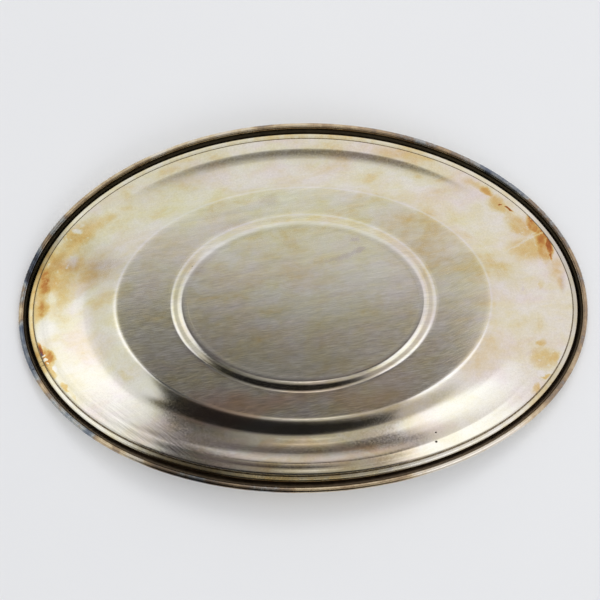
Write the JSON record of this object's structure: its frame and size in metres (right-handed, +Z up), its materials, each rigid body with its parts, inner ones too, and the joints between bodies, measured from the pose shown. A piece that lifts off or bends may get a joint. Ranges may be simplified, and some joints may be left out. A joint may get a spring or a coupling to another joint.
{
  "type": "serving tray",
  "caption": "Oval silver-plated serving tray with upturned ends, a wide ogee flange, a moulded border with a rolled edge and a raised centre foot, lying face down.",
  "frame": {"origin": "on the plane that the tray lies on, midway along and across the tray", "axes": "+X along the tray's long axis, +Y across it, +Z up out of its underside, because the tray lies face down; half a turn about X gives the way it is used"},
  "size_m": [0.3222, 0.2153, 0.0283],
  "materials": {
    "body_plate": "tarnished silver plate, finely brushed",
    "border_plate": "tarnished silver plate, satin",
    "joint_solder": "dull soft solder",
    "seam_solder": "dark tarnished soft solder",
    "wire_metal": "bare drawn wire"
  },
  "bodies": {
    "root": {"tray_body": "body_plate", "border_moulding": "border_plate", "border_joint_solder": "joint_solder", "lap_seam_solder": "seam_solder", "rim_wire": "wire_metal"}
  },
  "joints": []
}
